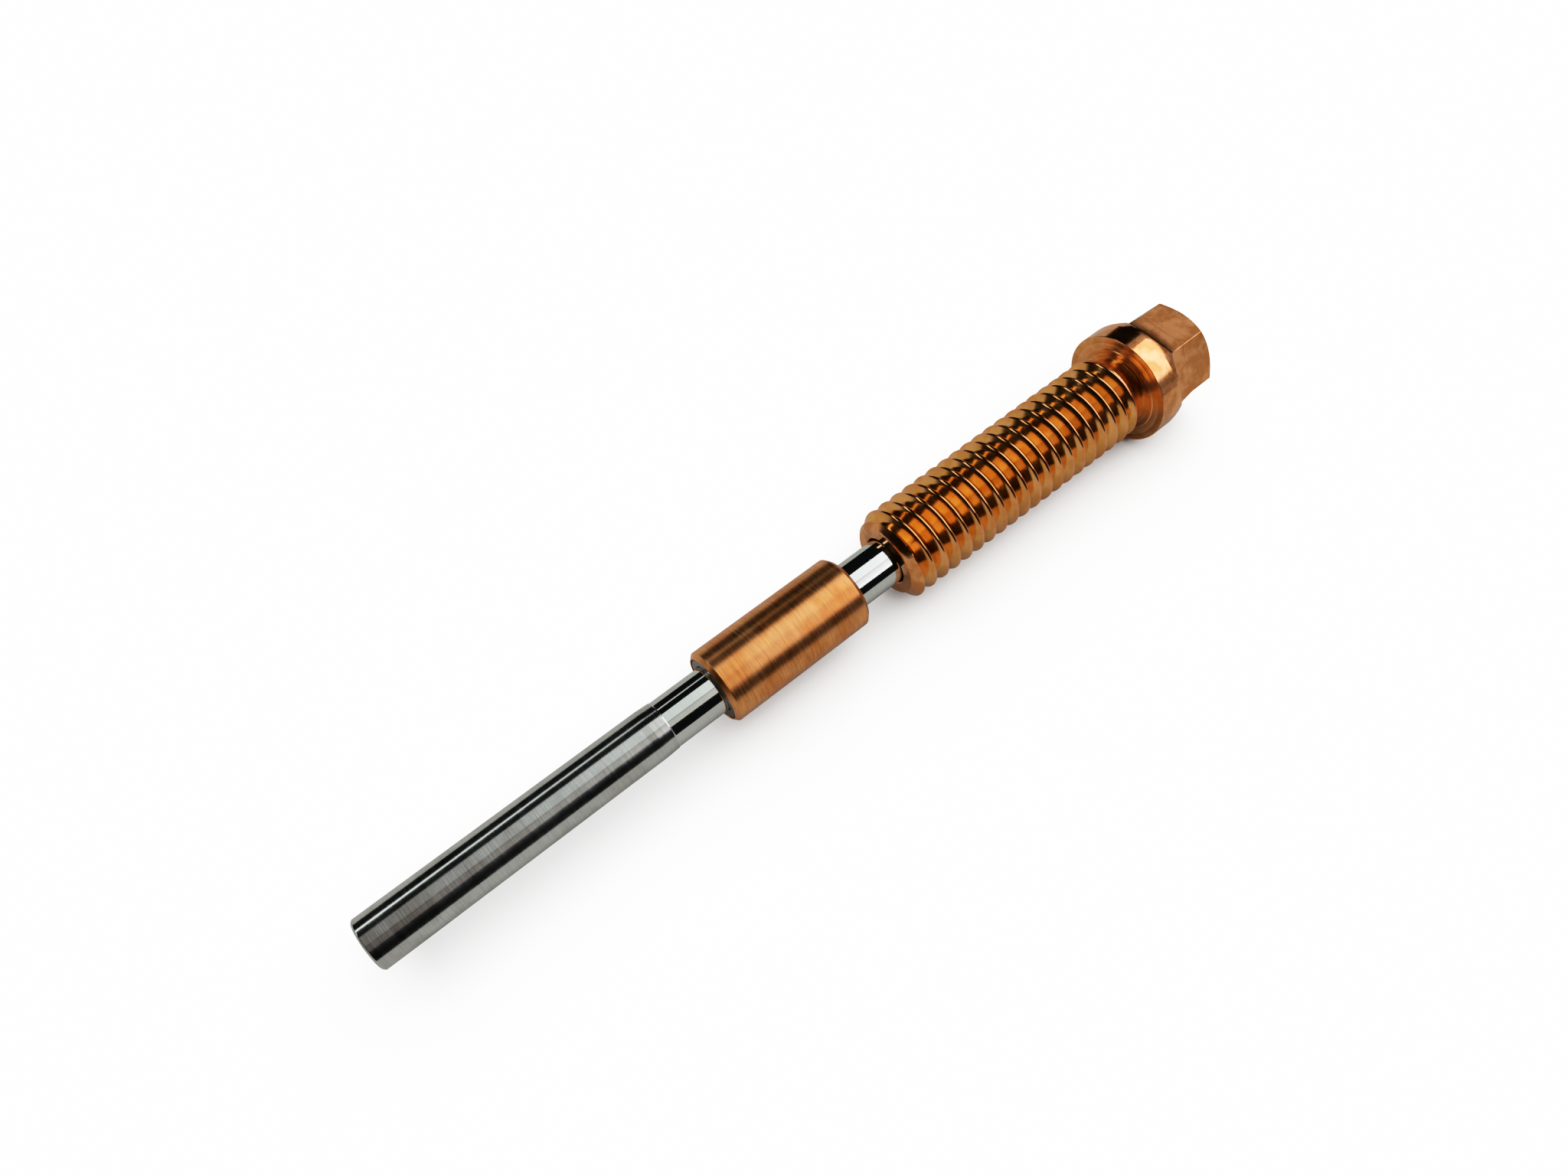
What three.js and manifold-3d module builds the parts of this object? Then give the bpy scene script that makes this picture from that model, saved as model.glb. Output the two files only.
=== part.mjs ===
// A hollow hex-head thrust screw and a lined plain bush on a stepped steel spindle.
// Millimetres. The common axis is X, with the hexagon at +X, and the origin is half way along it.
import * as THREE from "three";
import { mergeVertices } from "three/addons/utils/BufferGeometryUtils.js";
import Module from "manifold-3d";

const wasm = await Module();
wasm.setup();

// Whole assembly
const TOTAL_LENGTH = 62.1;
const SHANK_END = -TOTAL_LENGTH / 2;
const HEX_END = TOTAL_LENGTH / 2;
const FACETS = 48;
const CLEARANCE = 0.03;

// Spindle
const SHANK_RADIUS = 1.58;
const SHANK_CHAMFER = 0.12;
const JOURNAL_RADIUS = 1.5;
const CONE_START = -13.1;
const CONE_END = -12.2;
const CONE_END_RADIUS = 1.53;
const JOURNAL_INSET = 0.2;
const JOURNAL_END = HEX_END - JOURNAL_INSET;
const JOURNAL_CHAMFER = 0.25;
const GROOVE_RADIUS = 1.25;
const GROOVE_WIDTH = 0.4;
const GROOVE_TO_END = 0.5;

// Bush: a copper-alloy shell with a pressed-in liner
const BUSH_START = -8.75;
const BUSH_LENGTH = 10.1;
const BUSH_RADIUS = 2.38;
const BUSH_CHAMFER = 0.26;
const SHELL_MOUTH = 0.025;
const LINER_RADIUS = 2.05;
const LINER_INSET = 0.04;
const LINER_CHAMFER = 0.08;
const PRESS_GAP = 0.01;
const LINER_BORE_RADIUS = 1.54;
const LINER_MOUTH = 0.06;

// Hollow screw
const SCREW_FACE = 4.55;
const SCREW_FACE_RADIUS = 2.32;
const SCREW_FACE_EDGE = 0.05;
const THREAD_MAJOR_RADIUS = 2.95;
const THREAD_MINOR_RADIUS = 2.38;
const THREAD_PITCH = 1;
const THREAD_LEAD_IN = 0.5;
const THREAD_CREST_WIDTH = 0.1;
const THREAD_ROOT_WIDTH = 0.22;
const THREAD_STEPS_PER_TURN = 20;
const THREAD_CORE_SINK = 0.05;
const THREAD_CLOCK = 110.7;
const FIRST_CREST = 4.87;
const RUNOUT_START = 23.7;
const RUNOUT_WALL = 0.1;
const RUNOUT_FIRST_RADIUS = 2.93;
const RUNOUT_LAST_RADIUS = 2.5;
const NECK_LENGTH = 0.65;
const NECK_RADIUS = 2.36;
const NECK_SLOPE = 0.1;
const COLLAR_START = 25.3;
const COLLAR_WIDTH = 1.45;
const COLLAR_RADIUS = 3.9;
const COLLAR_EDGE = 0.06;
const BOSS_RADIUS = 3.02;
const BOSS_HEIGHT = 0.05;
const SHOULDER_LENGTH = 1;
const FLAT_RUNOUT_LENGTH = 0.8;
const HEX_ACROSS_FLATS = 6;
const HEX_CLOCK = 55.7;
const HEX_CORNER_RADIUS = HEX_ACROSS_FLATS / 2 / Math.cos(Math.PI / 6);
const HEX_CHAMFER_ANGLE = 38;
const HEX_FACE_RADIUS = 2.95;
const SCREW_BORE_RADIUS = 1.6;
const COUNTERBORE_RADIUS = 2.4;

// How far a cutting or joining solid runs past what it meets
const OVERRUN = 0.1;
const MERGE_DISTANCE = 1e-4;

// Thrust washer and retaining ring, stacked from the groove back to the counterbore floor
const WASHER_THICKNESS = 0.5;
const WASHER_RADIUS = 2.3;
const WASHER_BORE_RADIUS = 1.57;
const BURR_BREAK = 0.05;
const RING_OUTER_RADIUS = 1.95;
const RING_TO_GROOVE = 0.02;
const RING_OPENING_ANGLE = 70;
const RING_SEGMENTS = 24;
const GROOVE_START = JOURNAL_END - GROOVE_TO_END - GROOVE_WIDTH;
const WASHER_START = GROOVE_START - WASHER_THICKNESS;
const COUNTERBORE_FLOOR = WASHER_START - CLEARANCE;

const groundSteel = new THREE.MeshStandardMaterial({ color: 0x9da29c, roughness: 0.25, metalness: 1 });
const springSteel = new THREE.MeshStandardMaterial({ color: 0x4c4e50, roughness: 0.4, metalness: 1 });
const linerMetal = new THREE.MeshStandardMaterial({ color: 0x6b5d53, roughness: 0.45, metalness: 1 });
const brushedCopper = new THREE.MeshStandardMaterial({ color: 0xd08a4a, roughness: 0.35, metalness: 1 });
const polishedCopper = new THREE.MeshStandardMaterial({ color: 0xc27a3c, roughness: 0.2, metalness: 1 });

// A body of revolution about X from [x, radius] corners, listed with x rising along the outside.
// Its first facet edge stands at the clock angle, in degrees.
function turned(profile, facets = FACETS, clock = 0) {
  const points = profile.map(([x, radius]) => new THREE.Vector2(radius, x));
  const geometry = new THREE.LatheGeometry(points, facets);
  geometry.rotateZ(-Math.PI / 2);
  geometry.rotateX(THREE.MathUtils.degToRad(clock));
  return geometry;
}

// Turns a closed geometry into a solid that can be cut and joined.
function solidOf(geometry) {
  const bare = geometry.clone();
  bare.deleteAttribute("normal");
  bare.deleteAttribute("uv");
  const merged = mergeVertices(bare, MERGE_DISTANCE);
  return new wasm.Manifold(
    new wasm.Mesh({
      numProp: 3,
      vertProperties: new Float32Array(merged.attributes.position.array),
      triVerts: new Uint32Array(merged.index.array),
    }),
  );
}

// Turns a solid back into a geometry.
function geometryOf(solid) {
  const mesh = solid.getMesh();
  const geometry = new THREE.BufferGeometry();
  geometry.setAttribute("position", new THREE.BufferAttribute(mesh.vertProperties, 3));
  geometry.setIndex(new THREE.BufferAttribute(mesh.triVerts, 1));
  geometry.computeVertexNormals();
  return geometry;
}

function piece(name, geometry, material) {
  const mesh = new THREE.Mesh(geometry, material);
  mesh.name = name;
  return mesh;
}

// Spindle: thick ground shank, short cone, thin journal with a ring groove near its end.
function spindle() {
  const profile = [
    [SHANK_END, 0],
    [SHANK_END, SHANK_RADIUS - SHANK_CHAMFER],
    [SHANK_END + SHANK_CHAMFER, SHANK_RADIUS],
    [CONE_START, SHANK_RADIUS],
    [CONE_END, CONE_END_RADIUS],
    [CONE_END, JOURNAL_RADIUS],
    [GROOVE_START, JOURNAL_RADIUS],
    [GROOVE_START, GROOVE_RADIUS],
    [GROOVE_START + GROOVE_WIDTH, GROOVE_RADIUS],
    [GROOVE_START + GROOVE_WIDTH, JOURNAL_RADIUS],
    [JOURNAL_END - JOURNAL_CHAMFER, JOURNAL_RADIUS],
    [JOURNAL_END, JOURNAL_RADIUS - JOURNAL_CHAMFER],
    [JOURNAL_END, 0],
  ];
  return piece("spindle", turned(profile), groundSteel);
}

// A tube about X, chamfered on the outside of each end and at each mouth of its bore.
function tube(start, end, inner, outer, chamfer, mouth) {
  return turned([
    [start, inner + mouth],
    [start, outer - chamfer],
    [start + chamfer, outer],
    [end - chamfer, outer],
    [end, outer - chamfer],
    [end, inner + mouth],
    [end - mouth, inner],
    [start + mouth, inner],
    [start, inner + mouth],
  ]);
}

function bushShell() {
  const end = BUSH_START + BUSH_LENGTH;
  const inner = LINER_RADIUS + PRESS_GAP;
  const body = tube(BUSH_START, end, inner, BUSH_RADIUS, BUSH_CHAMFER, SHELL_MOUTH);
  return piece("bush_shell", body, brushedCopper);
}

function bushLiner() {
  const start = BUSH_START + LINER_INSET;
  const end = BUSH_START + BUSH_LENGTH - LINER_INSET;
  const body = tube(start, end, LINER_BORE_RADIUS, LINER_RADIUS, LINER_CHAMFER, LINER_MOUTH);
  return piece("bush_liner", body, linerMetal);
}

// The path of the thread: it runs back along the axis while its section turns with it, so the
// section's first coordinate is a radius and its second is a distance along the axis.
class ThreadPath extends THREE.Curve {
  constructor(start, turns, clock) {
    super();
    this.start = start;
    this.turns = turns;
    this.clock = clock;
  }

  getPoint(t, target = new THREE.Vector3()) {
    return target.set(this.start + (1 - t) * this.turns * THREAD_PITCH, 0, 0);
  }

  computeFrenetFrames(steps) {
    const frames = { tangents: [], normals: [], binormals: [] };
    for (let i = 0; i <= steps; i += 1) {
      const angle = this.clock + (1 - i / steps) * this.turns * 2 * Math.PI;
      frames.normals.push(new THREE.Vector3(0, Math.cos(angle), Math.sin(angle)));
      frames.tangents.push(new THREE.Vector3(0, Math.sin(angle), -Math.cos(angle)));
      frames.binormals.push(new THREE.Vector3(1, 0, 0));
    }
    return frames;
  }
}

// The thread's ridge, a trapezium wound round the core from before the face to past the runout.
function threadRidge() {
  const coreRadius = THREAD_MINOR_RADIUS - THREAD_CORE_SINK;
  const flankSlope = (THREAD_PITCH - THREAD_CREST_WIDTH - THREAD_ROOT_WIDTH) / 2
    / (THREAD_MAJOR_RADIUS - THREAD_MINOR_RADIUS);
  const crest = THREAD_CREST_WIDTH / 2;
  const foot = crest + flankSlope * (THREAD_MAJOR_RADIUS - coreRadius);
  const section = new THREE.Shape([
    new THREE.Vector2(coreRadius, -foot),
    new THREE.Vector2(THREAD_MAJOR_RADIUS, -crest),
    new THREE.Vector2(THREAD_MAJOR_RADIUS, crest),
    new THREE.Vector2(coreRadius, foot),
  ]);
  const start = FIRST_CREST - THREAD_PITCH;
  const turns = Math.ceil((RUNOUT_START - start) / THREAD_PITCH) + 1;
  const steps = turns * THREAD_STEPS_PER_TURN;
  const path = new ThreadPath(start, turns, THREE.MathUtils.degToRad(THREAD_CLOCK));
  return solidOf(new THREE.ExtrudeGeometry(section, { steps, extrudePath: path, curveSegments: 1 }));
}

// Everything the thread may fill: a chamfered lead-in, then just over the major diameter until the
// runout's wall.
function threadEnvelope() {
  const radius = THREAD_MAJOR_RADIUS + CLEARANCE;
  return solidOf(turned([
    [SCREW_FACE, 0],
    [SCREW_FACE, SCREW_FACE_RADIUS],
    [SCREW_FACE + THREAD_LEAD_IN, radius],
    [RUNOUT_START + RUNOUT_WALL / 2, radius],
    [RUNOUT_START + RUNOUT_WALL / 2, 0],
  ], THREAD_STEPS_PER_TURN, THREAD_CLOCK + 90));
}

// Thread core with its conical runout, neck, collar with its low front boss, and the conical
// shoulder that falls to the hexagon's corners and then to its flats.
function screwBody() {
  const neckStart = COLLAR_START - NECK_LENGTH;
  const core = turned([
    [SCREW_FACE, 0],
    [SCREW_FACE, SCREW_FACE_RADIUS],
    [SCREW_FACE + SCREW_FACE_EDGE, THREAD_MINOR_RADIUS],
    [RUNOUT_START, THREAD_MINOR_RADIUS],
    [RUNOUT_START + RUNOUT_WALL, RUNOUT_FIRST_RADIUS],
    [neckStart, RUNOUT_LAST_RADIUS],
    [neckStart + NECK_SLOPE, NECK_RADIUS],
    [COLLAR_START + OVERRUN, NECK_RADIUS],
    [COLLAR_START + OVERRUN, 0],
  ], THREAD_STEPS_PER_TURN, THREAD_CLOCK + 90);
  const collarEnd = COLLAR_START + COLLAR_WIDTH;
  const shoulderEnd = collarEnd + SHOULDER_LENGTH;
  const collar = turned([
    [COLLAR_START - BOSS_HEIGHT, 0],
    [COLLAR_START - BOSS_HEIGHT, BOSS_RADIUS - BOSS_HEIGHT],
    [COLLAR_START, BOSS_RADIUS],
    [COLLAR_START, COLLAR_RADIUS - COLLAR_EDGE],
    [COLLAR_START + COLLAR_EDGE, COLLAR_RADIUS],
    [collarEnd, COLLAR_RADIUS],
    [shoulderEnd, HEX_CORNER_RADIUS],
    [shoulderEnd + FLAT_RUNOUT_LENGTH, HEX_ACROSS_FLATS / 2],
    [shoulderEnd + FLAT_RUNOUT_LENGTH, 0],
  ]);
  return solidOf(core).add(solidOf(collar));
}

// Hexagon with the corners of its free end turned off at the chamfer angle.
function hexHead() {
  const start = COLLAR_START + COLLAR_WIDTH / 2;
  const outline = new THREE.Shape();
  const corners = Array.from({ length: 6 }, (_, i) => {
    const angle = THREE.MathUtils.degToRad(HEX_CLOCK + 60 * i);
    return new THREE.Vector2(HEX_CORNER_RADIUS * Math.cos(angle), HEX_CORNER_RADIUS * Math.sin(angle));
  });
  outline.setFromPoints(corners);
  const bar = new THREE.ExtrudeGeometry(outline, { depth: HEX_END - start, bevelEnabled: false });
  // The outline's x, y and the extrusion become the assembly's Y, Z and X.
  const axes = new THREE.Matrix4().makeBasis(
    new THREE.Vector3(0, 1, 0),
    new THREE.Vector3(0, 0, 1),
    new THREE.Vector3(1, 0, 0),
  );
  bar.applyMatrix4(axes.setPosition(start, 0, 0));
  const rise = Math.tan(THREE.MathUtils.degToRad(HEX_CHAMFER_ANGLE));
  const clear = HEX_CORNER_RADIUS + OVERRUN;
  const turnedEnd = turned([
    [start, 0],
    [start, clear],
    [HEX_END - (clear - HEX_FACE_RADIUS) * rise, clear],
    [HEX_END, HEX_FACE_RADIUS],
    [HEX_END, 0],
  ]);
  return solidOf(bar).intersect(solidOf(turnedEnd));
}

function hollowScrew() {
  const bore = turned([
    [SCREW_FACE - OVERRUN, 0],
    [SCREW_FACE - OVERRUN, SCREW_BORE_RADIUS],
    [COUNTERBORE_FLOOR, SCREW_BORE_RADIUS],
    [COUNTERBORE_FLOOR, COUNTERBORE_RADIUS],
    [HEX_END + OVERRUN, COUNTERBORE_RADIUS],
    [HEX_END + OVERRUN, 0],
  ]);
  const solid = threadRidge()
    .intersect(threadEnvelope())
    .add(screwBody())
    .add(hexHead())
    .subtract(solidOf(bore));
  return piece("hollow_screw", geometryOf(solid), polishedCopper);
}

function thrustWasher() {
  const end = WASHER_START + WASHER_THICKNESS - CLEARANCE;
  const body = tube(WASHER_START, end, WASHER_BORE_RADIUS, WASHER_RADIUS, BURR_BREAK, BURR_BREAK);
  return piece("thrust_washer", body, springSteel);
}

// Open snap ring with its mouth at the top.
function retainingRing() {
  const half = THREE.MathUtils.degToRad(RING_OPENING_ANGLE / 2);
  const inner = GROOVE_RADIUS + RING_TO_GROOVE;
  const outline = new THREE.Shape();
  outline.absarc(0, 0, RING_OUTER_RADIUS, half, 2 * Math.PI - half, false);
  outline.absarc(0, 0, inner, 2 * Math.PI - half, half, true);
  outline.closePath();
  const depth = GROOVE_WIDTH - 2 * CLEARANCE;
  const options = { depth, bevelEnabled: false, curveSegments: RING_SEGMENTS };
  const ring = new THREE.ExtrudeGeometry(outline, options);
  ring.rotateY(Math.PI / 2);
  ring.rotateX(Math.PI);
  ring.translate(GROOVE_START + CLEARANCE, 0, 0);
  return piece("retaining_ring", ring, springSteel);
}

const assembly = new THREE.Group();
assembly.add(spindle(), bushShell(), bushLiner(), hollowScrew(), thrustWasher(), retainingRing());

export default assembly;
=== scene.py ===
"""A hollow hex-head thrust screw and a lined plain bush on a stepped steel spindle, seen from above."""

import math

import bmesh
import bpy
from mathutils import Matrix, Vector


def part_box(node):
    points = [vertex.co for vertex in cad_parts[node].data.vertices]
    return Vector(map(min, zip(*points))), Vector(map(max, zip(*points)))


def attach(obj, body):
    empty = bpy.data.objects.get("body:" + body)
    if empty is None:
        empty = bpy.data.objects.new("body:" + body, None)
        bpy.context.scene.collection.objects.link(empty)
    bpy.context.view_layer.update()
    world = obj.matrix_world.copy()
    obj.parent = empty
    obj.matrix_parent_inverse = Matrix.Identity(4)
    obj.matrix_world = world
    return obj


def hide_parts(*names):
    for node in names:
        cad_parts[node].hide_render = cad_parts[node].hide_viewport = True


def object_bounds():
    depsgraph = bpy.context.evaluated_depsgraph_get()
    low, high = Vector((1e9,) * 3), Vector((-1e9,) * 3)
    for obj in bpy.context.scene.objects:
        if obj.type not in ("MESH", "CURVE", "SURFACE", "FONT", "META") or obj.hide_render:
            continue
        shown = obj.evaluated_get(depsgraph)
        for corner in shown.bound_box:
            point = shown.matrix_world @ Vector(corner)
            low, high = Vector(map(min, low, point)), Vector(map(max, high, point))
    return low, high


MM = 0.001

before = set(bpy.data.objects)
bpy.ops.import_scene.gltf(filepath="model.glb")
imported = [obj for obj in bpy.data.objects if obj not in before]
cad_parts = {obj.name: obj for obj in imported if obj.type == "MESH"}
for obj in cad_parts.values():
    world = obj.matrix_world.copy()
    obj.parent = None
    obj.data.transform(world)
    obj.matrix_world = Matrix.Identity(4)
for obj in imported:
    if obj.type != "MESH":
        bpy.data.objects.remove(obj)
cad_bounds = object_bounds()


def span(node):
    """A turned node's first x, last x and outer radius, in millimetres."""
    low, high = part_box(node)
    return low[0] / MM, high[0] / MM, high[2] / MM


SPINDLE_START, SPINDLE_END, SHANK_RADIUS = span("spindle")
SHELL_START, SHELL_END, SHELL_RADIUS = span("bush_shell")
LINER_START, LINER_END, LINER_RADIUS = span("bush_liner")
SCREW_START, SCREW_END, COLLAR_RADIUS = span("hollow_screw")
WASHER_START, WASHER_END, WASHER_RADIUS = span("thrust_washer")
RING_START, RING_END, _ = span("retaining_ring")

# Sizes inside the nodes, in millimetres, and angles in degrees. Bores are radii.
CLEARANCE = 0.03
SHANK_CHAMFER = 0.12
CONE_START = SPINDLE_START + 17.95
CONE_END = SPINDLE_START + 18.85
CONE_BLEND = 1.2
BEVEL_WIDTH = 0.055
BEVEL_START_RADIUS = 1.536
BEVEL_END_RADIUS = 1.516
POLISH_START = SPINDLE_START + 18.79
JOURNAL_RADIUS = 1.5
JOURNAL_CHAMFER = 0.25
GROOVE_RADIUS = 1.25
SHELL_BORE = 2.06
LINER_BORE = 1.54
WASHER_BORE = 1.57
RING_BORE = 1.27
RING_RADIUS = 1.95
RING_HALF_GAP = 35
SCREW_BORE = 1.6
COUNTERBORE = 2.4
COUNTERBORE_FLOOR = WASHER_START - CLEARANCE
FACE_RADIUS = 2.32
LEAD_IN = 0.5
MAJOR_RADIUS = 2.95
MINOR_RADIUS = 2.35
NECK_RADIUS = 2.36
PITCH = 1.0
# Radii over which the thread's painted reflection tint in its root fades out towards the crest.
PAINTED_REFLECTION_START = 2.7
PAINTED_REFLECTION_END = 2.92
CREST_PHASE = 4.87
CREST_CLOCK = 110.7
CREST_ROUNDING = 0.14
RUNOUT_START = 23.74
RUNOUT_WALL = 0.14
RUNOUT_RIM = 0.06
RUNOUT_RIM_RADIUS = MAJOR_RADIUS - 0.03
RUNOUT_RADIUS = 2.5
NECK_START = 24.65
NECK_SLOPE = 0.12
COLLAR_START = 25.3
COLLAR_END = 26.75
BOSS_RADIUS = 3.02
BOSS_HEIGHT = 0.05
BOSS_START = COLLAR_START - BOSS_HEIGHT
# Fine grooves that the tool leaves in the collar's front: (first, deepest, last radius, depth).
BOSS_GROOVE = (2.66, 2.68, 2.7, 0.006)
SEAT_GROOVE = (3.42, 3.44, 3.46, 0.005)
FACE_MARGIN = 0.02
HEX_APOTHEM = 3.0
HEX_CLOCK = 55.7
HEX_FACE_RADIUS = 2.95
HEX_CHAMFER = math.tan(math.radians(38))
HEX_CORNER_ROUNDING = 0.035
# The back of the collar is a little domed, and each flat of the hexagon is cut into it: the flat
# ramps up gently before it curls into the collar.
DOME_FALL = 0.2
DOME_POWER = 1.4
RAMP_START = 28.87
RAMP_SLOPE = 0.11
CURL_START = 27.77
CURL_BEND = 1.13
# The cutter leaves a fine raised line where the ramp starts: (distance from there, height).
CUTTER_LINE = ((-0.05, 0), (-0.02, 0.007), (0.01, 0.002), (0.04, 0))


# ---------------------------------------------------------------- meshes

def rounded(corners, closed=False):
    """Rounds the corners of an outline. A corner is (x, radius), or (x, radius, rounding, steps)."""
    points = []
    count = len(corners)
    for i, corner in enumerate(corners):
        x, r = corner[0], corner[1]
        rounding = corner[2] if len(corner) > 2 else 0
        steps = corner[3] if len(corner) > 3 else 4
        if rounding <= 0 or (not closed and i in (0, count - 1)):
            points.append((x, r))
            continue
        here = Vector((x, r))
        before = Vector(corners[i - 1][:2]) - here
        after = Vector(corners[(i + 1) % count][:2]) - here
        half = before.angle(after) / 2
        reach = min(rounding / math.tan(half), 0.42 * before.length, 0.42 * after.length)
        size = reach * math.tan(half)
        u, v = before.normalized(), after.normalized()
        centre = here + (u + v).normalized() * size / math.sin(half)
        start, end = here + u * reach - centre, here + v * reach - centre
        turn = math.pi - 2 * half
        points.append(tuple(here + u * reach * 1.15))
        for k in range(steps + 1):
            t = k / steps
            spoke = (start * math.sin((1 - t) * turn) + end * math.sin(t * turn)) / math.sin(turn)
            points.append(tuple(centre + spoke))
        points.append(tuple(here + v * reach * 1.15))
    return points


def finish_mesh(name, bm, sharp_degrees=38):
    """Turns a bmesh in millimetres into an object in metres, smooth with its sharp edges marked."""
    bmesh.ops.remove_doubles(bm, verts=bm.verts, dist=1e-5)
    bmesh.ops.dissolve_degenerate(bm, edges=bm.edges, dist=1e-6)
    bmesh.ops.recalc_face_normals(bm, faces=bm.faces)
    bmesh.ops.scale(bm, vec=(MM, MM, MM), verts=bm.verts)
    limit = math.radians(sharp_degrees)
    for edge in bm.edges:
        edge.smooth = len(edge.link_faces) != 2 or edge.calc_face_angle(0) < limit
    for face in bm.faces:
        face.smooth = True
    mesh = bpy.data.meshes.new(name)
    bm.to_mesh(mesh)
    bm.free()
    piece = bpy.data.objects.new(name, mesh)
    bpy.context.scene.collection.objects.link(piece)
    return piece


def stitch(bm, first, second):
    """Joins two rings of vertices, either of which may be a single point on the axis."""
    count = max(len(first), len(second))
    for j in range(count):
        k = (j + 1) % count
        around = ((first, j), (second, j), (second, k), (first, k))
        unique = list(dict.fromkeys(ring[at % len(ring)] for ring, at in around))
        if len(unique) > 2:
            bm.faces.new(unique)


def turned(name, outline, segments=144, closed=False):
    """A body of revolution about X from (x, radius) points."""
    bm = bmesh.new()
    rings = []
    for x, r in outline:
        if r < 1e-6:
            rings.append([bm.verts.new((x, 0, 0))])
            continue
        angles = [2 * math.pi * j / segments for j in range(segments)]
        rings.append([bm.verts.new((x, r * math.cos(a), r * math.sin(a))) for a in angles])
    for first, second in zip(rings, rings[1:]):
        stitch(bm, first, second)
    if closed:
        stitch(bm, rings[-1], rings[0])
    return finish_mesh(name, bm)


def tube(name, start, end, inner, outer, chamfer, mouth, edge):
    """A ring whose outer rims are chamfered and whose bore has small mouths, with rounded edges."""
    return turned(name, rounded([
        (start, inner + mouth, edge / 2, 3),
        (start, outer - chamfer, edge),
        (start + chamfer, outer, edge),
        (end - chamfer, outer, edge),
        (end, outer - chamfer, edge),
        (end, inner + mouth, edge / 2, 3),
        (end - mouth, inner, edge / 2, 3),
        (start + mouth, inner, edge / 2, 3),
    ], closed=True), closed=True)


def spindle():
    """Ground shank, cone with a bevel at its foot, and polished journal with the snap ring's groove."""
    groove_start = RING_START - CLEARANCE
    groove_end = RING_END + CLEARANCE
    return turned("spindle_body", rounded([
        (SPINDLE_START, 0),
        (SPINDLE_START, SHANK_RADIUS - SHANK_CHAMFER, 0.03),
        (SPINDLE_START + SHANK_CHAMFER, SHANK_RADIUS, 0.05),
        (CONE_START, SHANK_RADIUS, CONE_BLEND, 6),
        (CONE_END - BEVEL_WIDTH, BEVEL_START_RADIUS, 0.012),
        (CONE_END, BEVEL_END_RADIUS, 0.012),
        (CONE_END + 0.008, JOURNAL_RADIUS, 0.008),
        (groove_start, JOURNAL_RADIUS, 0.02),
        (groove_start, GROOVE_RADIUS, 0.03),
        (groove_end, GROOVE_RADIUS, 0.03),
        (groove_end, JOURNAL_RADIUS, 0.02),
        (SPINDLE_END - JOURNAL_CHAMFER, JOURNAL_RADIUS, 0.06),
        (SPINDLE_END, JOURNAL_RADIUS - JOURNAL_CHAMFER, 0.05),
        (SPINDLE_END, 0),
    ]))


def thread_section():
    """One pitch of the thread as (distance, radius), with its rounded crest at 0."""
    # The flanks would meet at tip. It depends on their angle, which depends on it.
    half_angle = math.atan2(PITCH / 2, MAJOR_RADIUS - MINOR_RADIUS)
    for _ in range(8):
        tip = MAJOR_RADIUS + CREST_ROUNDING * (1 / math.sin(half_angle) - 1)
        half_angle = math.atan2(PITCH / 2, tip - MINOR_RADIUS)
    return rounded([
        (-PITCH / 2, MINOR_RADIUS),
        (0, tip, CREST_ROUNDING, 10),
        (PITCH / 2, MINOR_RADIUS),
    ])[:-1]


def screw_radius(x, thread_radius):
    """The screw's radius at x: the thread, turned down at its lead-in and filled by its runout."""
    if x < RUNOUT_START:
        lead_in = FACE_RADIUS + (x - SCREW_START) / LEAD_IN * (MAJOR_RADIUS - FACE_RADIUS)
        return min(thread_radius, lead_in)
    wall_end = RUNOUT_START + RUNOUT_WALL
    stations = [
        (RUNOUT_START, thread_radius),
        (wall_end, RUNOUT_RIM_RADIUS),
        (wall_end + RUNOUT_RIM, RUNOUT_RIM_RADIUS - 0.005),
        (NECK_START, RUNOUT_RADIUS),
        (NECK_START + NECK_SLOPE, NECK_RADIUS),
        (SCREW_END, NECK_RADIUS),
    ]
    for (x0, r0), (x1, r1) in zip(stations, stations[1:]):
        if x <= x1:
            return r0 + (x - x0) / (x1 - x0) * (r1 - r0)


def dome(x):
    """The radius of the collar's domed back at x."""
    return COLLAR_RADIUS - DOME_FALL * max(0, x - COLLAR_END) ** DOME_POWER


def flat_rise(x):
    """How far a flat of the hexagon stands above its own plane at x."""
    return RAMP_SLOPE * max(0, RAMP_START - x) + CURL_BEND * max(0, CURL_START - x) ** 2


def head_outline(across):
    """The head's outline from the collar's rim to its end, where the hexagon's radius is across."""
    spread = across / HEX_APOTHEM
    near, far = COLLAR_END, CURL_START
    for _ in range(40):
        middle = (near + far) / 2
        if (HEX_APOTHEM + flat_rise(middle)) * spread > dome(middle):
            near = middle
        else:
            far = middle
    meeting = near
    outline = [(COLLAR_END, COLLAR_RADIUS, 0.05)]
    for k in (0.3, 0.6):
        x = COLLAR_END + (meeting - COLLAR_END) * k
        outline.append((x, dome(x)))
    cut = [(meeting + (CURL_START - meeting) * k / 6, 0) for k in range(7)]
    cut += [(RAMP_START + x, height) for x, height in CUTTER_LINE]
    outline += [(x, (HEX_APOTHEM + flat_rise(x) + height) * spread) for x, height in cut]
    flat_end = SCREW_END - (across - HEX_FACE_RADIUS) * HEX_CHAMFER
    return outline + [(flat_end, across, 0.03), (SCREW_END, HEX_FACE_RADIUS, 0.02)]


def groove(x, first, deepest, last, depth):
    """The corners of a fine groove in the face at x."""
    return [(x, first), (x + depth, deepest), (x, last)]


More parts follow.
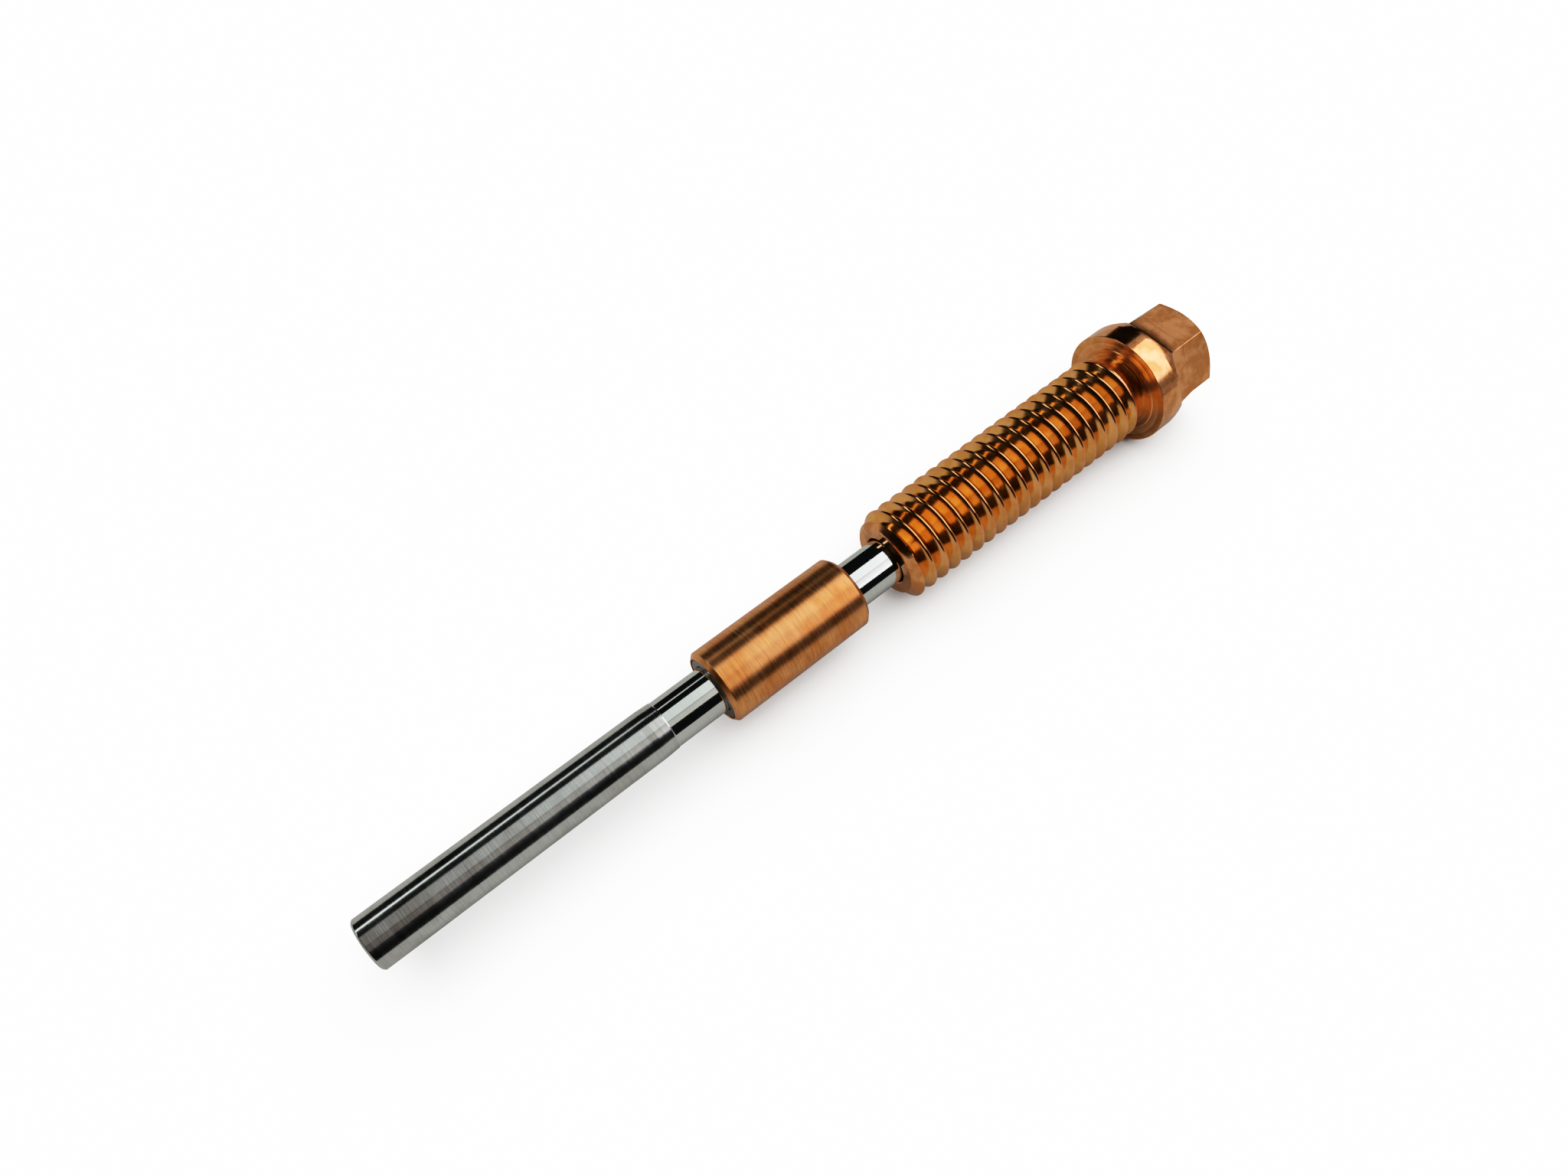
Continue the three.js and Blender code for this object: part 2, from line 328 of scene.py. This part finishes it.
def hexagon(degrees):
    """The hexagon's radius at an angle, with its corners slightly rounded."""
    from_corner = (degrees - HEX_CLOCK + 30) % 60 - 30
    flat = HEX_APOTHEM / math.cos(math.radians(30 - abs(from_corner)))
    centre = (HEX_APOTHEM - HEX_CORNER_ROUNDING) / math.cos(math.radians(30))
    touch = math.degrees(math.atan2(
        HEX_CORNER_ROUNDING / 2, centre + HEX_CORNER_ROUNDING * math.cos(math.radians(30))))
    if abs(from_corner) > touch:
        return flat
    side = centre * math.sin(math.radians(from_corner))
    return centre * math.cos(math.radians(from_corner)) + math.sqrt(HEX_CORNER_ROUNDING ** 2 - side ** 2)


def thread_skin(bm, angles, first_x, last_x):
    """The outside of the threaded tube, as its first and last rings of vertices.

    The thread's rows follow its helix, so that one turn on, a row meets the row one pitch further."""
    section = thread_section()
    per_pitch = len(section)
    crest = CREST_PHASE + (HEX_CLOCK - CREST_CLOCK) / 360 * PITCH
    turn = math.floor((first_x - crest) / PITCH) - 2
    rows = []
    while not rows or rows[-1][0] < last_x:
        rows += [(crest + turn * PITCH + distance, r) for distance, r in section]
        turn += 1
    while rows[1][0] < first_x - PITCH:
        rows.pop(0)

    grid = []
    for start, thread_radius in rows:
        ring = []
        for degrees in angles:
            x = min(max(start + PITCH * (degrees - HEX_CLOCK) / 360, first_x), last_x)
            r = screw_radius(x, thread_radius)
            a = math.radians(degrees)
            ring.append(bm.verts.new((x, r * math.cos(a), r * math.sin(a))))
        grid.append(ring)
    columns = len(angles)
    last_row = len(grid) - 1
    for i in range(last_row):
        for j in range(columns):
            if j + 1 < columns:
                quad = [grid[i][j], grid[i + 1][j], grid[i + 1][j + 1], grid[i][j + 1]]
            else:
                quad = [
                    grid[i][j],
                    grid[i + 1][j],
                    grid[min(i + 1 + per_pitch, last_row)][0],
                    grid[min(i + per_pitch, last_row)][0],
                ]
            quad = list(dict.fromkeys(quad))
            if len(quad) > 2:
                bm.faces.new(quad)
    return grid[0], grid[-1]


def hollow_screw():
    """Threaded tube, neck, collar, shoulder and hexagon as one closed skin."""
    # Degrees from one corner of the hexagon to the next, close together at the corners.
    near_corner = [0, 0.2, 0.42, 1.0]
    steps = near_corner + [2.5 * k for k in range(1, 24)] + [60 - a for a in reversed(near_corner[1:])]
    angles = [HEX_CLOCK + 60 * side + a for side in range(6) for a in steps]
    # The thread's rows stop just short of the screw's front edge and of the boss.
    first_x = SCREW_START + 0.02
    last_x = BOSS_START - 0.08
    bm = bmesh.new()
    thread_start, thread_end = thread_skin(bm, angles, first_x, last_x)

    front = [
        (last_x, NECK_RADIUS),
        (BOSS_START, NECK_RADIUS, 0.05),
        *groove(BOSS_START, *BOSS_GROOVE),
        (BOSS_START, BOSS_RADIUS - BOSS_HEIGHT, 0.015, 3),
        (COLLAR_START, BOSS_RADIUS, 0.015, 3),
        *groove(COLLAR_START, *SEAT_GROOVE),
        (COLLAR_START, COLLAR_RADIUS, 0.05, 6),
    ]
    inside = [
        (SCREW_END, COUNTERBORE + 0.06, 0.03, 3),
        (SCREW_END - 0.06, COUNTERBORE, 0.03, 3),
        (COUNTERBORE_FLOOR, COUNTERBORE, 0.05, 3),
        (COUNTERBORE_FLOOR, SCREW_BORE + 0.05, 0.02, 2),
        (COUNTERBORE_FLOOR - 0.05, SCREW_BORE, 0.02, 2),
        (SCREW_START + 0.06, SCREW_BORE, 0.02, 2),
        (SCREW_START, SCREW_BORE + 0.06, 0.02, 2),
        (SCREW_START, FACE_RADIUS - 0.02, 0.02, 3),
        (first_x, screw_radius(first_x, MAJOR_RADIUS)),
    ]
    profiles = [rounded(front + head_outline(hexagon(degrees)) + inside) for degrees in angles]
    rings = []
    for k in range(1, len(profiles[0]) - 1):
        ring = []
        for degrees, profile in zip(angles, profiles):
            x, r = profile[k]
            a = math.radians(degrees)
            ring.append(bm.verts.new((x, r * math.cos(a), r * math.sin(a))))
        rings.append(ring)
    for first, second in zip([thread_end] + rings, rings + [thread_start]):
        stitch(bm, first, second)
    return finish_mesh("screw_body", bm, sharp_degrees=24)


def snap_ring():
    """An open ring of rounded rectangular section, its gap at the top and its ends rounded off."""
    section = rounded([
        (RING_START, RING_BORE, 0.05),
        (RING_START, RING_RADIUS, 0.07),
        (RING_END, RING_RADIUS, 0.07),
        (RING_END, RING_BORE, 0.05),
    ], closed=True)
    middle_x, middle_r = (RING_START + RING_END) / 2, (RING_BORE + RING_RADIUS) / 2
    steps = 96
    sweep = 360 - 2 * RING_HALF_GAP
    end_sweep = 1.1
    end_shrink = 0.08
    end_stations = [0.0, 0.35, 0.7]
    stations = end_stations + [end_sweep + (sweep - 2 * end_sweep) * k / steps for k in range(steps + 1)]
    stations += [sweep - station for station in reversed(end_stations)]
    bm = bmesh.new()
    rings = []
    for station in stations:
        from_end = min(station, sweep - station, end_sweep) / end_sweep
        shrink = 1 - end_shrink * (1 - math.sqrt(1 - (1 - from_end) ** 2))
        a = math.radians(90 + RING_HALF_GAP + station)
        ring = []
        for x, r in section:
            px = middle_x + (x - middle_x) * shrink
            pr = middle_r + (r - middle_r) * shrink
            ring.append(bm.verts.new((px, pr * math.cos(a), pr * math.sin(a))))
        rings.append(ring)
    for first, second in zip(rings, rings[1:]):
        stitch(bm, first, second)
    bm.faces.new(rings[0])
    bm.faces.new(rings[-1])
    return finish_mesh("snap_ring", bm)


# ---------------------------------------------------------------- materials

def node(tree, kind, **settings):
    """A new node. A setting that starts with in_ is the value of the input of that name or number."""
    made = tree.nodes.new(kind)
    for key, value in settings.items():
        if key.startswith("in_"):
            socket = key[3:]
            socket = int(socket) if socket.isdigit() else socket.replace("_", " ")
            made.inputs[socket].default_value = value
        else:
            setattr(made, key, value)
    return made


def object_position(tree):
    return node(tree, "ShaderNodeTexCoord").outputs["Object"]


def distance_from_axis(tree, position):
    across = node(tree, "ShaderNodeVectorMath", operation="MULTIPLY", in_1=(0, 1, 1))
    tree.links.new(position, across.inputs[0])
    girth = node(tree, "ShaderNodeVectorMath", operation="LENGTH")
    tree.links.new(across.outputs[0], girth.inputs[0])
    return girth.outputs["Value"]


def turned_vector(tree, along, around):
    """Coordinates for marks left by turning: close together along the profile, long round the girth."""
    link = tree.links.new
    position = object_position(tree)
    parts = node(tree, "ShaderNodeSeparateXYZ")
    link(position, parts.inputs[0])
    run = node(tree, "ShaderNodeMath", operation="ADD")
    link(parts.outputs["X"], run.inputs[0])
    link(distance_from_axis(tree, position), run.inputs[1])
    joined = node(tree, "ShaderNodeCombineXYZ")
    link(run.outputs[0], joined.inputs["X"])
    link(parts.outputs["Y"], joined.inputs["Y"])
    link(parts.outputs["Z"], joined.inputs["Z"])
    scale = node(tree, "ShaderNodeVectorMath", operation="MULTIPLY", in_1=(along, around, around))
    link(joined.outputs[0], scale.inputs[0])
    return scale.outputs[0]


def ranged(tree, value, low, high, to_low, to_high):
    """Maps value from low..high to to_low..to_high, and clamps it."""
    made = node(tree, "ShaderNodeMapRange", in_1=low, in_2=high, in_3=to_low, in_4=to_high)
    tree.links.new(value, made.inputs[0])
    return made.outputs[0]


def metal(name, light, dark, rough, anisotropy, streaks, lines, fine, blotch, marks, painted_reflection_tint=None):
    """A machined metal.

    light, dark: the colours that stains range over
    rough: (least, most) roughness
    streaks: what multiplies the colour in the darkest tool marks
    lines: (per metre along, per metre round, depth in metres) of the tool marks
    fine: the same for the finer tool marks
    blotch: (per metre, depth in metres) of the surface's slow unevenness
    marks: depth in metres of small nicks
    painted_reflection_tint: what multiplies the colour in the thread's root, a painted reflection tint that
    makes the light bounced between the flanks look golden"""
    material = bpy.data.materials.new(name)
    material.use_nodes = True
    tree = material.node_tree
    link = tree.links.new
    shader = tree.nodes["Principled BSDF"]
    shader.inputs["Metallic"].default_value = 1.0
    shader.inputs["Anisotropic"].default_value = anisotropy
    shader.inputs["Anisotropic Rotation"].default_value = 0.25
    tangent = node(tree, "ShaderNodeTangent", direction_type="RADIAL", axis="X")
    link(tangent.outputs[0], shader.inputs["Tangent"])

    position = object_position(tree)
    coarse = node(tree, "ShaderNodeTexNoise", in_Scale=1.0, in_Detail=3.0, in_Roughness=0.6)
    link(turned_vector(tree, lines[0], lines[1]), coarse.inputs["Vector"])
    thin = node(tree, "ShaderNodeTexNoise", in_Scale=1.0, in_Detail=2.0, in_Roughness=0.55)
    link(turned_vector(tree, fine[0], fine[1]), thin.inputs["Vector"])
    cloud = node(tree, "ShaderNodeTexNoise", in_Scale=blotch[0], in_Detail=4.0, in_Roughness=0.55)
    link(position, cloud.inputs["Vector"])
    specks = node(tree, "ShaderNodeTexNoise", in_Scale=9000.0, in_Detail=1.0, in_Roughness=0.4)
    link(position, specks.inputs["Vector"])

    stain = node(tree, "ShaderNodeMixRGB", in_1=(*dark, 1), in_2=(*light, 1))
    link(ranged(tree, cloud.outputs[0], 0.42, 0.56, 0.0, 1.0), stain.inputs[0])
    streak = node(tree, "ShaderNodeMixRGB", blend_type="MULTIPLY", in_0=1.0)
    link(stain.outputs[0], streak.inputs[1])
    link(ranged(tree, coarse.outputs[0], 0.3, 0.62, streaks, 1.0), streak.inputs[2])
    # Painted reflection tint: the thread's root is painted yellower and brighter, fading out towards the
    # crest, so that the light bounced between the flanks looks golden.
    if painted_reflection_tint:
        painted_reflection_blend = node(tree, "ShaderNodeMixRGB", in_1=(*painted_reflection_tint, 1), in_2=(1, 1, 1, 1))
        girth = distance_from_axis(tree, position)
        link(ranged(tree, girth, PAINTED_REFLECTION_START * MM, PAINTED_REFLECTION_END * MM, 0.0, 1.0), painted_reflection_blend.inputs[0])
        tinted = node(tree, "ShaderNodeMixRGB", blend_type="MULTIPLY", in_0=1.0)
        link(streak.outputs[0], tinted.inputs[1])
        link(painted_reflection_blend.outputs[0], tinted.inputs[2])
        streak = tinted
    link(streak.outputs[0], shader.inputs["Base Color"])

    blur = node(tree, "ShaderNodeMath", operation="ADD")
    spread = rough[1] - rough[0]
    link(ranged(tree, coarse.outputs[0], 0.3, 0.7, rough[0], rough[0] + 0.6 * spread), blur.inputs[0])
    link(ranged(tree, cloud.outputs[0], 0.35, 0.7, 0.0, 0.4 * spread), blur.inputs[1])
    link(blur.outputs[0], shader.inputs["Roughness"])

    nicks = ranged(tree, specks.outputs[0], 0.24, 0.3, 0.0, 1.0)
    previous = None
    for height, depth in (
        (cloud.outputs[0], blotch[1]),
        (coarse.outputs[0], lines[2]),
        (thin.outputs[0], fine[2]),
        (nicks, marks),
    ):
        bump = node(tree, "ShaderNodeBump", in_Strength=1.0, in_Distance=depth)
        link(height, bump.inputs["Height"])
        if previous:
            link(previous.outputs[0], bump.inputs["Normal"])
        previous = bump
    link(previous.outputs[0], shader.inputs["Normal"])
    return material


ground_steel = metal(
    "ground_steel_satin", (0.63, 0.68, 0.66), (0.54, 0.57, 0.55), (0.13, 0.24), 0.8, 0.8,
    lines=(16000, 500, 0.25e-6), fine=(60000, 1200, 0.1e-6), blotch=(500, 1e-6), marks=0.6e-6)
polished_steel = metal(
    "journal_steel_polished", (0.68, 0.73, 0.71), (0.62, 0.67, 0.65), (0.05, 0.09), 0.3, 0.93,
    lines=(14000, 400, 0.04e-6), fine=(50000, 900, 0.03e-6), blotch=(400, 0.8e-6), marks=0.5e-6)
brushed_copper = metal(
    "bush_copper_brushed", (0.95, 0.425, 0.155), (0.82, 0.31, 0.09), (0.27, 0.4), 0.7, 0.6,
    lines=(15000, 700, 0.5e-6), fine=(42000, 1500, 0.3e-6), blotch=(450, 2e-6), marks=1e-6)
polished_copper = metal(
    "screw_copper_polished", (0.95, 0.43, 0.18), (0.7, 0.28, 0.09), (0.1, 0.18), 0.3, 0.88,
    lines=(15000, 300, 0.15e-6), fine=(40000, 600, 0.06e-6), blotch=(900, 9e-6), marks=1e-6)
# The thread's copper carries a painted reflection tint in its root, yellower and brighter than the crest.
thread_copper = metal(
    "screw_copper_thread", (0.94, 0.42, 0.175), (0.83, 0.335, 0.11), (0.12, 0.18), 0.3, 0.92,
    lines=(15000, 300, 0.15e-6), fine=(40000, 600, 0.06e-6), blotch=(900, 5e-6), marks=1e-6,
    painted_reflection_tint=(1.04, 1.2, 0.92))
faced_copper = metal(
    "screw_copper_faced", (0.95, 0.44, 0.17), (0.82, 0.345, 0.105), (0.26, 0.35), 0.6, 0.85,
    lines=(15000, 300, 0.3e-6), fine=(40000, 600, 0.1e-6), blotch=(900, 4e-6), marks=1e-6)
bearing_metal = metal(
    "liner_bearing_metal", (0.30, 0.27, 0.25), (0.2, 0.17, 0.15), (0.3, 0.45), 0.3, 0.8,
    lines=(18000, 400, 0.5e-6), fine=(60000, 900, 0.2e-6), blotch=(900, 3e-6), marks=2e-6)
washer_steel = metal(
    "washer_steel_satin", (0.46, 0.47, 0.48), (0.38, 0.39, 0.4), (0.2, 0.35), 0.5, 0.8,
    lines=(16000, 400, 0.5e-6), fine=(50000, 900, 0.2e-6), blotch=(700, 3e-6), marks=2e-6)
spring_steel = metal(
    "ring_spring_steel", (0.17, 0.18, 0.19), (0.1, 0.1, 0.11), (0.28, 0.42), 0.2, 0.8,
    lines=(12000, 500, 0.4e-6), fine=(40000, 1200, 0.2e-6), blotch=(1500, 4e-6), marks=2e-6)


# ---------------------------------------------------------------- pieces

def place(piece, materials, body, node_name):
    for material in materials:
        piece.data.materials.append(material)
    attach(piece, body)
    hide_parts(node_name)
    return piece


shaft = place(spindle(), [ground_steel, polished_steel], "spindle", "spindle")
for polygon in shaft.data.polygons:
    polygon.material_index = int(polygon.center.x / MM > POLISH_START)

sleeve = tube(
    "bush_sleeve", SHELL_START, SHELL_END, SHELL_BORE, SHELL_RADIUS, chamfer=0.26, mouth=0.025, edge=0.05)
place(sleeve, [brushed_copper], "bush", "bush_shell")
lining = tube(
    "bush_lining", LINER_START, LINER_END, LINER_BORE, LINER_RADIUS, chamfer=0.08, mouth=0.06, edge=0.04)
place(lining, [bearing_metal], "bush", "bush_liner")

screw_metals = [polished_copper, thread_copper, faced_copper]
screw = place(hollow_screw(), screw_metals, "screw", "hollow_screw")
thread_start = SCREW_START + LEAD_IN
collar_face_start = BOSS_START - FACE_MARGIN
collar_face_end = COLLAR_START + FACE_MARGIN
for polygon in screw.data.polygons:
    x = polygon.center.x / MM
    if thread_start < x < collar_face_start:
        polygon.material_index = screw_metals.index(thread_copper)
    elif collar_face_start < x < collar_face_end:
        polygon.material_index = screw_metals.index(faced_copper)

disc = tube(
    "washer_disc", WASHER_START, WASHER_END, WASHER_BORE, WASHER_RADIUS, chamfer=0.05, mouth=0.05, edge=0.03)
place(disc, [washer_steel], "washer", "thrust_washer")
place(snap_ring(), [spring_steel], "spindle", "retaining_ring")


# ---------------------------------------------------------------- studio

OVERHEAD_HEIGHT = 0.4


def card(name, corners, emission):
    """A light panel that is seen only in reflections. emission(tree, glow) sets up its light."""
    mesh = bpy.data.meshes.new(name)
    mesh.from_pydata(corners, [], [list(range(len(corners)))])
    panel = bpy.data.objects.new(name, mesh)
    bpy.context.scene.collection.objects.link(panel)
    material = bpy.data.materials.new(name)
    material.use_nodes = True
    tree = material.node_tree
    tree.nodes.remove(tree.nodes["Principled BSDF"])
    glow = node(tree, "ShaderNodeEmission")
    emission(tree, glow)
    tree.links.new(glow.outputs[0], tree.nodes["Material Output"].inputs["Surface"])
    mesh.materials.append(material)
    panel.visible_camera = False
    panel.visible_diffuse = False
    panel.visible_shadow = False


def ramp(tree, value, stops, low, high):
    """Colour stops, each (place between low and high, colour)."""
    made = node(tree, "ShaderNodeValToRGB")
    elements = made.color_ramp.elements
    while len(elements) < len(stops):
        elements.new(0.5)
    for element, (at, colour) in zip(elements, stops):
        element.position = (at - low) / (high - low)
        element.color = (*colour, 1)
    tree.links.new(ranged(tree, value, low, high, 0.0, 1.0), made.inputs[0])
    return made.outputs[0]


def overhead_light(tree, glow):
    parts = node(tree, "ShaderNodeSeparateXYZ")
    tree.links.new(object_position(tree), parts.inputs[0])
    height = OVERHEAD_HEIGHT
    along = ramp(tree, parts.outputs["X"], [
        (-0.40 * height, (0.015, 0.013, 0.012)),
        (-0.17 * height, (0.11, 0.095, 0.088)),
        (0.0, (0.2, 0.195, 0.19)),
        (0.12 * height, (0.33, 0.34, 0.33)),
        (0.3 * height, (0.41, 0.42, 0.4)),
        (0.45 * height, (0.69, 0.68, 0.69)),
        (0.6 * height, (0.86, 0.82, 0.86)),
        (0.85 * height, (0.98, 0.88, 1.0)),
    ], -0.45 * height, 0.9 * height)
    across = ramp(tree, parts.outputs["Y"], [
        (-0.42 * height, (0.64, 0.57, 0.54)),
        (-0.375 * height, (0.3, 0.29, 0.29)),
        (-0.35 * height, (0.34, 0.33, 0.33)),
        (-0.31 * height, (1.0, 1.0, 1.0)),
    ], -0.6 * height, 0.0)
    both = node(tree, "ShaderNodeMixRGB", blend_type="MULTIPLY")
    tree.links.new(ranged(tree, parts.outputs["X"], 0.4 * height, 0.7 * height, 0.9, 0.15), both.inputs[0])
    tree.links.new(along, both.inputs[1])
    tree.links.new(across, both.inputs[2])
    tree.links.new(both.outputs[0], glow.inputs["Color"])
    glow.inputs["Strength"].default_value = 3.0


card("overhead_softbox", [
    (x * OVERHEAD_HEIGHT, y * OVERHEAD_HEIGHT, OVERHEAD_HEIGHT)
    for x, y in ((-0.4, 0.4), (1.9, 0.45), (1.9, -2.0), (0.7, -1.4), (0.2, -1.0), (-0.4, -0.92))
], overhead_light)


def strip_light(tree, glow):
    parts = node(tree, "ShaderNodeSeparateXYZ")
    tree.links.new(object_position(tree), parts.inputs[0])
    along = ramp(tree, parts.outputs["X"], [
        (-0.20, (1.0, 1.0, 0.98)),
        (-0.05, (0.55, 0.557, 0.543)),
        (0.05, (0.257, 0.264, 0.257)),
        (0.13, (0.0, 0.0, 0.0)),
    ], -0.25, 0.15)
    tree.links.new(along, glow.inputs["Color"])
    glow.inputs["Strength"].default_value = 3.0


card("side_strip", [
    (-0.5, 0.322, 0.198), (0.13, 0.313, 0.217), (0.13, 0.298, 0.249), (-0.5, 0.291, 0.264),
], strip_light)


def cloudy(scale, least, most, colour):
    """A light of one colour whose strength varies slowly from least to most."""
    def emission(tree, glow):
        cloud = node(tree, "ShaderNodeTexNoise", in_Scale=scale, in_Detail=3.0)
        tree.links.new(object_position(tree), cloud.inputs["Vector"])
        tree.links.new(ranged(tree, cloud.outputs[0], 0.38, 0.62, least, most), glow.inputs["Strength"])
        glow.inputs["Color"].default_value = (*colour, 1)

    return emission


card("side_panel", [
    (x * OVERHEAD_HEIGHT, y * OVERHEAD_HEIGHT, OVERHEAD_HEIGHT)
    for x, y in ((0.72, 0.47), (0.95, 0.72), (1.9, 0.95), (1.9, 0.5))
], cloudy(34.0, 0.25, 0.8, (1.0, 0.94, 0.9)))

card("far_wall", [
    (0.6, y, z)
    for y, z in ((0.42, 0.3), (0.2, 0.62), (-0.6, 0.62), (-0.9, -0.004), (-0.25, -0.004), (0.1, 0.3))
], cloudy(26.0, 0.08, 0.42, (1.0, 0.93, 0.86)))


def shown_apart(tree, mirrored, seen, surface):
    """Shows one shader to the camera and another in reflections."""
    rays = node(tree, "ShaderNodeLightPath")
    choose = node(tree, "ShaderNodeMixShader")
    tree.links.new(rays.outputs["Is Camera Ray"], choose.inputs[0])
    tree.links.new(mirrored.outputs[0], choose.inputs[1])
    tree.links.new(seen.outputs[0], choose.inputs[2])
    tree.links.new(choose.outputs[0], surface)


floor_mesh = bpy.data.meshes.new("floor")
bm = bmesh.new()
bmesh.ops.create_circle(bm, cap_ends=True, radius=4.0, segments=96)
bm.to_mesh(floor_mesh)
bm.free()
floor = bpy.data.objects.new("floor", floor_mesh)
floor.location.z = cad_bounds[0][2]
bpy.context.scene.collection.objects.link(floor)
paper = bpy.data.materials.new("floor_paper")
paper.use_nodes = True
tree = paper.node_tree
tree.nodes.remove(tree.nodes["Principled BSDF"])
seen = node(tree, "ShaderNodeBsdfDiffuse", in_Color=(0.88, 0.88, 0.875, 1))
mirrored = node(tree, "ShaderNodeBsdfDiffuse", in_Color=(0.195, 0.184, 0.172, 1))
shown_apart(tree, mirrored, seen, tree.nodes["Material Output"].inputs["Surface"])
floor_mesh.materials.append(paper)

sun = bpy.data.lights.new("soft_daylight", "SUN")
sun.energy = 8.5
sun.angle = math.radians(95)
sun_object = bpy.data.objects.new("soft_daylight", sun)
sun_object.rotation_euler = (math.radians(-8), math.radians(10), 0)
sun_object.visible_glossy = False
bpy.context.scene.collection.objects.link(sun_object)

world = bpy.data.worlds.new("studio")
world.use_nodes = True
tree = world.node_tree
dim = tree.nodes["Background"]
dim.inputs["Color"].default_value = (0.9, 1.0, 0.93, 1)
dim.inputs["Strength"].default_value = 0.006
pale = node(tree, "ShaderNodeBackground", in_Color=(0.9, 0.9, 0.895, 1), in_Strength=2.5)
shown_apart(tree, dim, pale, tree.nodes["World Output"].inputs["Surface"])
bpy.context.scene.world = world

lens = bpy.data.cameras.new("camera")
lens.sensor_width = 36
lens.sensor_fit = "HORIZONTAL"
lens.lens = 25.25
lens.clip_start = 0.002
lens.clip_end = 20
camera = bpy.data.objects.new("camera", lens)
camera.location = (-21.59 * MM, -21.93 * MM, 58.03 * MM)
camera.rotation_euler = Vector((0.3056, 0.3691, -0.8777)).to_track_quat("-Z", "Y").to_euler()
bpy.context.scene.collection.objects.link(camera)
bpy.context.scene.camera = camera

# Highlights roll off towards white, as on film.
view = bpy.context.scene.view_settings
view.view_transform = "Standard"
view.use_curve_mapping = True
film = view.curve_mapping
film.extend = "HORIZONTAL"
film.white_level = (2.5, 2.5, 2.5)
tone = film.curves[3]
for at, shown in ((0.02, 0.04), (0.12, 0.3), (0.24, 0.57), (0.4, 0.79), (0.64, 0.93)):
    tone.points.new(at, shown)
film.update()
